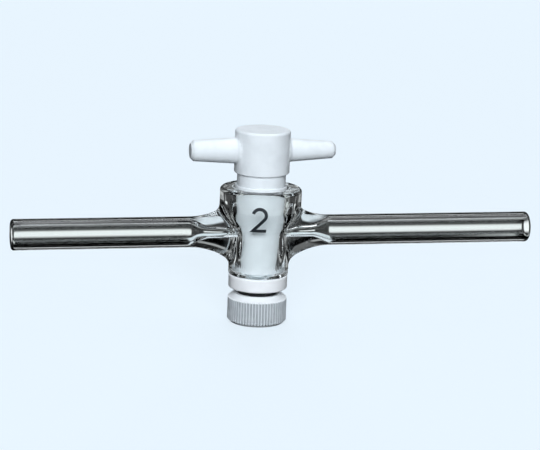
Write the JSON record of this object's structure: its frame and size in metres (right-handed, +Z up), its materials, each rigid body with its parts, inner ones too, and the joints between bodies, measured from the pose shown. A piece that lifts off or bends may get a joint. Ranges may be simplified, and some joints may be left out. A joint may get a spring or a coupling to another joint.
{
  "type": "glass stopcock",
  "caption": "Laboratory stopcock: a glass barrel with fused side tubes and a white PTFE plug with a T-handle, held by a washer, an O-ring and a knurled nut.",
  "frame": {"origin": "centre of the nut's flat bottom, on the plug's axis", "axes": "+Z up the plug's axis towards the handle, +X along the longer side tube, with the handle in line with the tubes (open)"},
  "size_m": [0.1375, 0.0212, 0.0509],
  "materials": {
    "borosilicate_glass": "clear, lampworked, with fire-polished tube ends and a ground seat",
    "ptfe": "turned PTFE, waxy satin white",
    "ptfe_washer": "turned PTFE, waxy satin white",
    "nitrile_rubber": "black moulded rubber",
    "nut_plastic": "moulded white plastic, ribbed, satin"
  },
  "bodies": {
    "barrel": {"glass_body": "borosilicate_glass"},
    "key": {"plug": "ptfe"},
    "stack": {"washer": "ptfe_washer", "o_ring": "nitrile_rubber"},
    "nut": {"nut": "nut_plastic"}
  },
  "joints": [
    {"name": "plug_turn", "type": "hinge", "parent": "barrel", "child": "key", "pos_m": [0, 0, 0.0241], "axis": [0, 0, 1], "continuous": true},
    {"name": "stack_slide", "type": "slide", "parent": "key", "child": "stack", "axis": [0, 0, -1], "range_m": [0, 0.003]},
    {"name": "nut_turn", "type": "hinge", "parent": "stack", "child": "nut", "pos_m": [0, 0, 0.004], "axis": [0, 0, -1], "range_deg": [0, 720]}
  ],
  "couplings": [
    {"joint": "nut_turn", "follows": "stack_slide", "rad_per_m": 4188.8}
  ]
}
